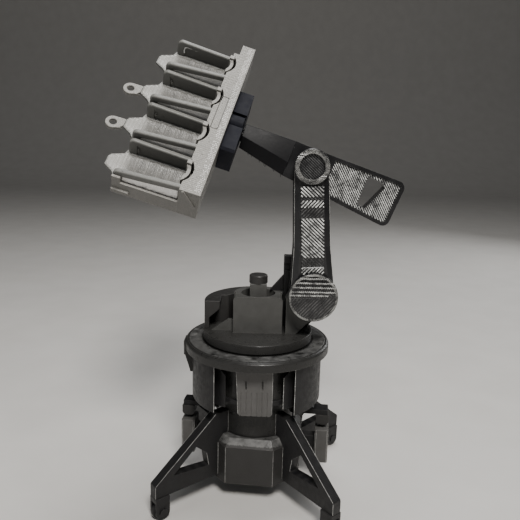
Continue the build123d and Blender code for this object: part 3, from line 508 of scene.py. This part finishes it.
def node_triangles(node):
    """Corners, unit normal and area of each triangle of a CAD node."""
    mesh = NODES[node].data
    mesh.calc_loop_triangles()
    for triangle in mesh.loop_triangles:
        corners = [mesh.vertices[i].co.copy() for i in triangle.vertices]
        normal = (corners[1] - corners[0]).cross(corners[2] - corners[0])
        if normal.length > 0:
            yield corners, normal.normalized(), normal.length / 2


def flat_faces(node, facing, min_area):
    """The flat faces of a node that look along a direction, as (height, triangles), lowest first."""
    groups = {}
    for corners, normal, area in node_triangles(node):
        if normal.dot(facing) > PARALLEL:
            height = round(corners[0].dot(facing) / FACE_STEP)
            groups.setdefault(height, []).append((corners, area))
    found = []
    for height in sorted(groups):
        members = groups[height]
        if sum(area for _, area in members) >= min_area:
            found.append((members[0][0][0].dot(facing), [corners for corners, _ in members]))
    return found


def merged(spans, tolerance):
    joined = []
    for start, end in sorted(spans):
        if joined and start <= joined[-1][1] + tolerance:
            joined[-1][1] = max(joined[-1][1], end)
        else:
            joined.append([start, end])
    return joined


def line_spans(triangles, across, along, offset):
    """Where the line at an offset across meets the triangles, as spans along it."""
    spans = []
    for corners in triangles:
        cuts = []
        for first, second in zip(corners, corners[1:] + corners[:1]):
            a, b = first.dot(across) - offset, second.dot(across) - offset
            if (a < 0) != (b < 0):
                cuts.append((first + (second - first) * (a / (a - b))).dot(along))
        if len(cuts) == 2:
            spans.append((min(cuts), max(cuts)))
    return merged(spans, SPAN_GAP)


def add_ridge(bm, start, end, side, up, half_width, height, sink):
    """A low rounded ridge between two points, closed all round."""
    profile = [(-1.0, -sink), (-0.72, 0.62 * height), (0.0, height), (0.72, 0.62 * height), (1.0, -sink)]
    rings = []
    for point in (start, end):
        rings.append([bm.verts.new(point + side * (a * half_width) + up * b) for a, b in profile])
    count = len(profile)
    for i in range(count):
        j = (i + 1) % count
        bm.faces.new((rings[0][i], rings[0][j], rings[1][j], rings[1][i]))
    bm.faces.new(rings[0][::-1])
    bm.faces.new(rings[1])


def hatch_face(bm, triangles, facing, level, along, pitch, height, inset, rng):
    """Covers a flat face with printed ridges that run along a direction."""
    across = facing.cross(along).normalized()
    reach = [corner.dot(across) for corners in triangles for corner in corners]
    offset = math.floor(min(reach) / pitch) * pitch + pitch / 2
    while offset < max(reach):
        for start, end in line_spans(triangles, across, along, offset):
            start += inset
            end -= inset
            if end - start > SHORT_LINE:
                base = across * offset + facing * level
                wander = across * (rng.uniform(-0.04, 0.04) * pitch)
                lift = height * rng.uniform(0.7, 1.1)
                add_ridge(bm, base + along * start, base + along * end + wander, across, facing,
                          LINE_HALF_WIDTH * pitch, lift, LINE_SINK)
        offset += pitch


def islands(triangles):
    """Splits triangles into groups that touch each other."""
    groups = []
    for corners in triangles:
        keys = {tuple(round(c / CORNER_STEP) for c in corner) for corner in corners}
        joined, members = keys, [corners]
        rest = []
        for group_keys, group_members in groups:
            if group_keys & joined:
                joined |= group_keys
                members += group_members
            else:
                rest.append((group_keys, group_members))
        groups = rest + [(joined, members)]
    return [members for _, members in groups]


# which of a node's flat faces carry lines, counted from the lowest
LOWEST, HIGHEST, ALL_BUT_HIGHEST, ALL = slice(0, 1), slice(-1, None), slice(0, -1), slice(None)


def hatched(name, node, facing, along, material, height, min_area, pick=ALL, inset=LINE_INSET,
            pitch=LINE_PITCH):
    """One piece that holds the printed lines of a node's flat faces. Their direction flips between faces."""
    rng = random.Random(SEED)
    bm = bmesh.new()
    index = 0
    for level, triangles in flat_faces(node, facing, min_area)[pick]:
        for island in islands(triangles):
            direction = facing.cross(along).normalized() if index % 2 else along
            hatch_face(bm, island, facing, level, direction, pitch, height, inset, rng)
            index += 1
    return add_piece(name, bm, BODY_OF[node], SLOT_OF[node], material)


def surface_of(node):
    mesh = NODES[node].data
    return BVHTree.FromPolygons([v.co for v in mesh.vertices], [p.vertices for p in mesh.polygons])


def steps_between(low, high, step):
    count = max(1, round((high - low) / step))
    return [low + (high - low) * i / count for i in range(count + 1)]


def draped(name, node, place, down, a_values, b_values, relief, keep, material):
    """A thin skin on a node's surface that carries a relief.

    place(a, b) is where a ray starts, and down is the way it goes. relief(a, b) is the height over the
    surface, and keep(depth) says whether the surface that the ray meets at that depth counts.
    """
    tree = surface_of(node)
    bm = bmesh.new()
    grid = {}
    for i, a in enumerate(a_values):
        for j, b in enumerate(b_values):
            hit, _, _, depth = tree.ray_cast(place(a, b), down)
            if hit is not None and keep(depth):
                grid[i, j] = bm.verts.new(hit - down * relief(a, b))
    for i in range(len(a_values) - 1):
        for j in range(len(b_values) - 1):
            corners = [grid.get(key) for key in ((i, j), (i + 1, j), (i + 1, j + 1), (i, j + 1))]
            if None not in corners:
                bm.faces.new(corners)
    bmesh.ops.delete(bm, geom=[v for v in bm.verts if not v.link_faces], context="VERTS")
    for face in bm.faces:
        face.smooth = True
    piece = add_piece(name, bm, BODY_OF[node], SLOT_OF[node], material, outward=-down)
    shell = piece.modifiers.new("thickness", "SOLIDIFY")
    shell.thickness = SKIN
    shell.offset = -1.0
    return piece


def add_strand(bm, points, first_radius, last_radius):
    """A tapering strand through points, closed at both ends."""
    sides = STRAND_SIDES
    rings = []
    for index, point in enumerate(points):
        ahead = points[min(index + 1, len(points) - 1)] - points[max(index - 1, 0)]
        turn = ahead.to_track_quat("Z", "Y")
        radius = first_radius + (last_radius - first_radius) * index / (len(points) - 1)
        ring = []
        for k in range(sides):
            angle = 2 * math.pi * k / sides
            spoke = Vector((radius * math.cos(angle), radius * math.sin(angle), 0))
            ring.append(bm.verts.new(point + turn @ spoke))
        rings.append(ring)
    for low, high in zip(rings, rings[1:]):
        for k in range(sides):
            bm.faces.new((low[k], low[(k + 1) % sides], high[(k + 1) % sides], high[k]))
    bm.faces.new(rings[0][::-1])
    bm.faces.new(rings[-1])


# ---------------------------------------------------------------- printed lines on flat faces
def slanted(first, second):
    """The direction halfway between two directions."""
    return (first + second).normalized()


def arm_lines():
    boom_out = -(RACK_OUT - Y_AXIS * RACK_OUT.dot(Y_AXIS)).normalized()
    boom_up = boom_out.cross(Y_AXIS).normalized()
    if boom_up.z < 0:
        boom_up = -boom_up
    link_up = (ELBOW - SHOULDER - Y_AXIS * (ELBOW - SHOULDER).dot(Y_AXIS)).normalized()
    link_side = Y_AXIS.cross(link_up).normalized()
    rising, falling = slanted(link_up, link_side), slanted(link_up, -link_side)
    # the tail and the link panel carry lines with a painted sheen
    for end, facing in (("front", -Y_AXIS), ("rear", Y_AXIS)):
        hatched("tail_lines_" + end, "boom_tail", facing, slanted(boom_out, -boom_up), "silver_lines",
                0.10 * MM, BIG_FACE, LOWEST)
    hatched("panel_lines", "link_panel", -Y_AXIS, rising, "silver_lines", 0.12 * MM, SMALL_FACE, HIGHEST,
            PANEL_INSET, WIDE_PITCH)
    hatched("panel_gap_lines", "link_panel", -Y_AXIS, falling, "cap_lines", 0.08 * MM, SMALL_FACE,
            ALL_BUT_HIGHEST, PANEL_INSET, WIDE_PITCH)
    hatched("cap_lines", "shoulder_cap", -Y_AXIS, rising, "cap_lines", 0.10 * MM, SMALL_FACE,
            pitch=WIDE_PITCH)
    cap_steps()
    rim_spokes("elbow_pin", 0.95 * MM, 62)
    rim_spokes("shoulder_cap", 0.4 * MM, 96)
    hatched("link_lines_rear", "link_rear", Y_AXIS, rising, "dark_lines", 0.05 * MM, BIG_FACE, HIGHEST,
            0.3 * MM)
    hatched("elbow_lines", "elbow_pin", -Y_AXIS, falling, "dark_lines", 0.05 * MM, SMALL_FACE)
    hatched("clip_lines", "elbow_clip", Y_AXIS, rising, "dark_lines", 0.05 * MM, SMALL_FACE, HIGHEST)


def cap_steps():
    """Rope-like edges of the printed steps in the upper half of the shoulder cap."""
    rises = [rise * MM for rise in (0.4, 1.2, 2.2, 3.2, 4.2)]   # of the steps above the cap's middle
    slant = 0.6                             # of each twist of the rope, in radians
    pitch = length = 0.42 * MM
    half_width, sink, rim = 0.16 * MM, 0.03 * MM, 0.35 * MM
    lowest_share = 0.6                      # the lowest step stops at this share of its half width
    rng = random.Random(SEED + 2)
    low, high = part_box("shoulder_cap")
    radius = (high.x - low.x) / 2
    middle = (high + low) / 2
    level = flat_faces("shoulder_cap", -Y_AXIS, SMALL_FACE)[-1][0]
    front = Vector((middle.x, -level, middle.z))
    direction = Vector((math.cos(slant), 0, math.sin(slant)))
    side = -Y_AXIS.cross(direction).normalized()
    bm = bmesh.new()
    for index, rise in enumerate(rises):
        half = math.sqrt(radius * radius - rise * rise) - rim
        x, end = -half, half if index else lowest_share * half
        while x < end:
            start = front + Vector((x, 0, rise + rng.uniform(-0.03, 0.03) * MM))
            height = rng.uniform(0.14, 0.24) * MM
            add_ridge(bm, start, start + direction * length, side, -Y_AXIS, half_width, height, sink)
            x += pitch
    add_piece("cap_steps", bm, BODY_OF["shoulder_cap"], SLOT_OF["shoulder_cap"], "cap_steps")


def rim_spokes(node, width, count):
    """Short printed lines around the rim of a cap."""
    half_width, sink, rim, lean = 0.10 * MM, 0.03 * MM, 0.12 * MM, 0.25
    rng = random.Random(SEED + 3)
    low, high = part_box(node)
    outer = (high.x - low.x) / 2 - rim
    inner = outer - width
    level = flat_faces(node, -Y_AXIS, SMALL_FACE)[-1][0]
    front = Vector(((low.x + high.x) / 2, -level, (low.z + high.z) / 2))
    bm = bmesh.new()
    for index in range(count):
        angle = 2 * math.pi * index / count
        slant = angle + lean
        start = front + Vector((math.cos(angle), 0, math.sin(angle))) * inner
        end = front + Vector((math.cos(slant), 0, math.sin(slant))) * outer
        side = (end - start).cross(Y_AXIS).normalized()
        height = rng.uniform(0.03, 0.10) * MM
        add_ridge(bm, start, end, side, -Y_AXIS, half_width, height, sink)
    # the spokes carry a painted sheen
    add_piece(node + "_spokes", bm, BODY_OF[node], SLOT_OF[node], "dark_silver")


def rack_lines():
    slant = slanted(RACK_OUT, RACK_DOWN)
    height = 0.05 * MM
    hatched("spine_lines_front", "rack_spine", RACK_OPEN, slant, "grey_print", height, RACK_FACE, HIGHEST)
    hatched("spine_lines_back", "rack_spine", -RACK_OPEN, slant, "grey_print", height, RACK_FACE, HIGHEST)
    # the cradles' lines take their darker grey, a painted shade
    for node in CRADLES:
        hatched(node + "_lines_back", node, -RACK_OPEN, slant, "cradle_grey", height, RACK_FACE, HIGHEST)
    hatched("wrist_lines", "wrist_block", -RACK_OUT, slanted(RACK_OPEN, RACK_DOWN), "blue_black_print",
            0.04 * MM, RACK_FACE, HIGHEST)


# ---------------------------------------------------------------- troughs and rough patches of the rack
def spine_details():
    """Stitch-like dots along the front face of the spine, painted pale as painted light, and the bottom of the
    groove in its middle, painted dark as painted shade.
    """
    rows = (0.45 * MM, 0.85 * MM, 1.2 * MM)             # from the spine's back
    pitch, length, half_width, sink = 0.46 * MM, 0.26 * MM, 0.09 * MM, 0.02 * MM
    first_margin, last_margin = 0.6 * MM, 0.8 * MM      # the rows stop this far from the spine's ends
    shown = 0.85                                        # share of the dots that printed
    groove_near, groove_far = 1.575 * MM, 3.025 * MM    # from the spine's back
    groove_top, groove_bottom = -3.125 * MM, 6.175 * MM
    groove_line_radius = 0.07 * MM
    rng = random.Random(SEED + 4)
    level = flat_faces("rack_spine", RACK_OPEN, RACK_FACE)[-1][0]
    height = level - RACK_MIDDLE.dot(RACK_OPEN)
    tree = surface_of("rack_spine")
    (u0, _), (v0, v1), _ = rack_span("rack_spine")
    slant = slanted(RACK_OUT, RACK_DOWN)
    back_slant = slanted(-RACK_OUT, RACK_DOWN)
    bm = bmesh.new()
    for row in rows:
        v = v0 + first_margin
        index = 0
        while v < v1 - last_margin:
            start = rack_place(u0 + row, v, height)
            hit = tree.ray_cast(start + RACK_OPEN * MM, -RACK_OPEN, 2 * MM)[0]
            if hit is not None and rng.random() < shown:
                direction = slant if index % 2 else back_slant
                side = RACK_OPEN.cross(direction).normalized()
                dot_height = rng.uniform(0.05, 0.10) * MM
                add_ridge(bm, hit, hit + direction * length, side, RACK_OPEN, half_width, dot_height, sink)
            v += pitch
            index += 1
    # the stitches are painted near white as painted light
    add_piece("spine_stitches", bm, "rack", SLOT_OF["rack_spine"], "rough_grey")
    near, far = u0 + groove_near, u0 + groove_far
    outline = ((near, groove_top), (far, groove_top), (far, groove_bottom), (near, groove_bottom))
    corners = [rack_place(u, v, height) for u, v in outline]
    # painted shade: dark strands round the groove
    bm = bmesh.new()
    for start, end in zip(corners, corners[1:] + corners[:1]):
        add_strand(bm, [start, end], groove_line_radius, groove_line_radius)
    add_piece("spine_groove_shade", bm, "rack", SLOT_OF["rack_spine"], "seam_grey")


def rack_place(u, v, w):
    """Point at distances along the rack's axes from the middle of its spine."""
    return RACK_MIDDLE + RACK_OUT * u + RACK_DOWN * v + RACK_OPEN * w


def rack_span(node):
    """Lowest and highest distance of a node along each rack axis."""
    spans = []
    for axis in (RACK_OUT, RACK_DOWN, RACK_OPEN):
        reach = [(v.co - RACK_MIDDLE).dot(axis) for v in NODES[node].data.vertices]
        spans.append((min(reach), max(reach)))
    return spans


def trough_skins():
    """Floors of the troughs: broad ribs towards the upper cheek and fine printed lines across."""
    rib_height, rib_end, rib_fade = 0.26 * MM, 11 * MM, 2 * MM
    line_pitch, line_height = 0.5 * MM, 0.035 * MM
    lift, roughness, grain = 0.03 * MM, 0.03 * MM, 1400
    cheek, floor_height, margin = 1.35 * MM, 2.3 * MM, 0.2 * MM
    for node in CRADLES:
        (u0, u1), (v0, v1), (w0, w1) = rack_span(node)
        start_w = w1 + 2 * MM
        middle = (v0 + v1) / 2

        def relief(u, v):
            side = min(1.0, max(0.0, (middle - v) / (middle - v0 - cheek)))
            inside = min(1.0, max(0.0, (u0 + rib_end - u) / rib_fade))
            rib = 0.5 + 0.5 * math.cos(2 * math.pi * (u - u0) / RIB_PITCH)
            line = 0.5 + 0.5 * math.cos(2 * math.pi * (u - u0) / line_pitch)
            rough = roughness * noise(rack_place(u, v, 0) * grain)
            return lift + rib * rib_height * side * inside + line * line_height + rough

        def keep(depth):
            return start_w - depth < w0 + floor_height

        draped(node + "_floor", node, lambda u, v: rack_place(u, v, start_w), -RACK_OPEN,
               steps_between(u0 + margin, u1 - margin, 0.125 * MM),
               steps_between(v0 + cheek, v1 - cheek, 0.4 * MM), relief, keep, "floor_grey")


def rough_panels():
    """Rough, stringy faces inside the rims of the lower cheeks, painted near white as painted light."""
    recess, step = 0.2 * MM, 0.16 * MM
    lift, coarse_depth, fine_depth = 0.02 * MM, 0.20 * MM, 0.10 * MM
    for node in CRADLES:
        (u0, _), (_, v1), (w0, w1) = rack_span(node)
        start_v = v1 + 1 * MM

        def relief(u, w):
            point = rack_place(u, v1, w)
            coarse = abs(noise(point * 900))
            fine = abs(noise(point * 3300))
            return lift + coarse_depth * coarse + fine_depth * fine

        def keep(depth):
            return start_v - depth < v1 - recess

        draped(node + "_rough", node, lambda u, w: rack_place(u, start_v, w), -RACK_DOWN,
               steps_between(u0 + 0.3 * MM, u0 + 11.3 * MM, step),
               steps_between(w0 + 0.2 * MM, w1 - 0.3 * MM, step), relief, keep, "rough_grey")


def rough_rings():
    """Rough printed tops of the flange and the housing."""
    lift, stroke_depth, fleck_depth = 0.015 * MM, 0.07 * MM, 0.04 * MM
    disc_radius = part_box("turntable_disc")[1].x
    rings = (   # name, node, inner and outer radius, and how far the surface may fall below the top
        ("flange_top", "flange_ring", disc_radius + 0.3 * MM, disc_radius + 3.2 * MM, 0.3 * MM),
        ("housing_top", "base_housing", 9.15 * MM, 11.9 * MM, 1.45 * MM),
    )
    for name, node, inner, outer, drop in rings:
        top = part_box(node)[1].z
        start = top + 3 * MM

        def relief(angle, radius):
            stroke = noise(Vector((angle * 5, radius * 1900, 3)))
            fleck = noise(Vector((math.cos(angle), math.sin(angle), 0)) * radius * 1500)
            return lift + stroke_depth * max(0.0, stroke) + fleck_depth * max(0.0, fleck)

        def place(angle, radius):
            return Vector((radius * math.cos(angle), radius * math.sin(angle), start))

        def keep(depth):
            return start - depth > top - drop

        draped(name, node, place, -Z_AXIS, steps_between(0, 2 * math.pi, 0.02),
               steps_between(inner, outer, 0.14 * MM), relief, keep, "rough_black")


# ---------------------------------------------------------------- painted highlights on printed edges
def sharp_edges(node):
    """Ends and the two face normals of each sharp edge of a CAD node."""
    bm = bmesh.new()
    bm.from_mesh(NODES[node].data)
    bmesh.ops.remove_doubles(bm, verts=bm.verts[:], dist=WELD)
    bmesh.ops.recalc_face_normals(bm, faces=bm.faces[:])
    found = []
    for edge in bm.edges:
        if len(edge.link_faces) == 2 and edge.calc_length() > SHORT_EDGE:
            first, second = (face.normal.copy() for face in edge.link_faces)
            if first.dot(second) < SHARP:
                found.append((edge.verts[0].co.copy(), edge.verts[1].co.copy(), first, second))
    bm.free()
    return found


def edge_glints():
    """Thin pale lines along the printed edges of the black parts: painted highlights where the edges catch the
    light.
    """
    # nodes, how upright an edge is, how far a face beside it looks forward, and the radius of its line
    rules = (
        (("drum_shell_left", "drum_shell_right"), 0.99, 0.05, 0.055 * MM),
        (("drum_liner_right",), 0.5, 0.05, 0.055 * MM),
        (("front_plate",), 0.99, 0.05, 0.04 * MM),
        (("leg_1", "leg_2", "leg_3", "leg_4"), 0.3, 0.25, 0.04 * MM),
        (("base_housing",), 0.9, 0.9, 0.035 * MM),
        (("link_front",), 0.8, 0.05, 0.05 * MM),
        (("jack_body_left", "jack_body_right"), 0.9, 0.05, 0.035 * MM),
    )
    shortest = {"front_plate": 8.0 * MM}
    downward, sunk_share, end_gap = -0.3, 0.6, 0.15 * MM
    for nodes, upright, forward, radius in rules:
        for node in nodes:
            bm = bmesh.new()
            for start, end, first, second in sharp_edges(node):
                direction = (end - start).normalized()
                long = (end - start).length > shortest.get(node, SHORT_EDGE)
                faces_front = min(first.y, second.y) < -forward
                faces_up = min(first.z, second.z) > downward
                if long and faces_front and faces_up and abs(direction.z) > upright:
                    sink = (first + second).normalized() * (sunk_share * radius)
                    inset = direction * end_gap
                    add_strand(bm, [start - sink + inset, end - sink - inset], radius, radius)
            if bm.faces:
                add_piece(node + "_glints", bm, BODY_OF[node], SLOT_OF[node], "edge_glint")
            else:
                bm.free()


# ---------------------------------------------------------------- printed strings
def strand_points(start, direction, length, rng):
    """Points of a strand that strays a little to one side."""
    bend = Vector((rng.uniform(-1, 1), rng.uniform(-1, 1), rng.uniform(-1, 1))) * 0.35
    return [start + (direction + bend * t) * (length * t) for t in (0.0, 0.25, 0.5, 0.75, 1.0)]


def neck_strings():
    """A few hairs left by printing under the neck."""
    shares = (0.16, 0.22, 0.36, 0.44, 0.47, 0.61, 0.74)     # of the neck's length, where a hair hangs
    root, tip, sink = 0.09 * MM, 0.03 * MM, 0.1 * MM
    rng = random.Random(SEED)
    low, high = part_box("boom_neck")
    tree = surface_of("boom_neck")
    bm = bmesh.new()
    for share in shares:
        x = low.x + (high.x - low.x) * share
        y = (low.y + high.y) / 2 + rng.uniform(-0.8, 0.3) * MM
        hit = tree.ray_cast(Vector((x, y, low.z - 5 * MM)), Z_AXIS)[0]
        length = rng.uniform(0.45, 1.0) * MM
        add_strand(bm, strand_points(hit + Z_AXIS * sink, -Z_AXIS, length, rng), root, tip)
    add_piece("neck_strings", bm, "boom", SLOT_OF["boom_neck"], "gloss_black_print")


def cheek_strand(name, node, course, first_radius, last_radius, material):
    """A strand over a cradle's upper cheek. Its course is in mm, out of the spine and up from the back."""
    (u0, _), (v0, _), (w0, _) = rack_span(node)
    points = [rack_place(u0 + a * MM, v0 + 1.0 * MM, w0 + b * MM) for a, b in course]
    bm = bmesh.new()
    add_strand(bm, points, first_radius, last_radius)
    add_piece(name, bm, "rack", SLOT_OF[node], material)


def cheek_strands():
    """A drop of plastic on each cradle but the top one, which has a long loose string on its rim."""
    drop = ((11.0, 2.3), (11.15, 2.7), (10.9, 3.1))
    string = ((11.4, 2.2), (11.5, 2.9), (11.35, 3.6), (10.9, 3.95), (10.2, 3.9), (9.4, 4.0), (8.8, 3.8),
              (8.3, 3.85))
    # the drops take the cradles' darker grey as painted shade, and the loose string takes the near-white grey as
    # painted light
    for node in CRADLES[1:]:
        cheek_strand(node + "_blob", node, drop, 0.24 * MM, 0.1 * MM, "cradle_grey")
    cheek_strand("loose_string", CRADLES[0], string, 0.16 * MM, 0.08 * MM, "rough_grey")


# ---------------------------------------------------------------- finish of the CAD nodes
BEVEL = 0.13 * MM
BEVEL_FROM = 35     # degrees between the faces of a softened edge, at least
OWN_BEVEL = {"black_print": 0.14 * MM, "gloss_black_print": 0.12 * MM, "blue_black_print": 0.16 * MM}


def finish_nodes():
    """Paints every CAD node and softens its edges."""
    for name, node in NODES.items():
        slot = SLOT_OF[name]
        paint(node, OWN_LOOK.get(name, slot))
        weld = node.modifiers.new("weld", "WELD")
        weld.merge_threshold = WELD
        bevel = node.modifiers.new("edge", "BEVEL")
        bevel.width = OWN_BEVEL.get(slot, BEVEL)
        bevel.segments = 2
        bevel.limit_method = "ANGLE"
        bevel.angle_limit = math.radians(BEVEL_FROM)
        for polygon in node.data.polygons:
            polygon.use_smooth = False


# ---------------------------------------------------------------- run
make_camera()
make_studio()
make_floor()
finish_nodes()
arm_lines()
rack_lines()
spine_details()
trough_skins()
rough_panels()
rough_rings()
neck_strings()
cheek_strands()
edge_glints()

bpy.context.view_layer.update()
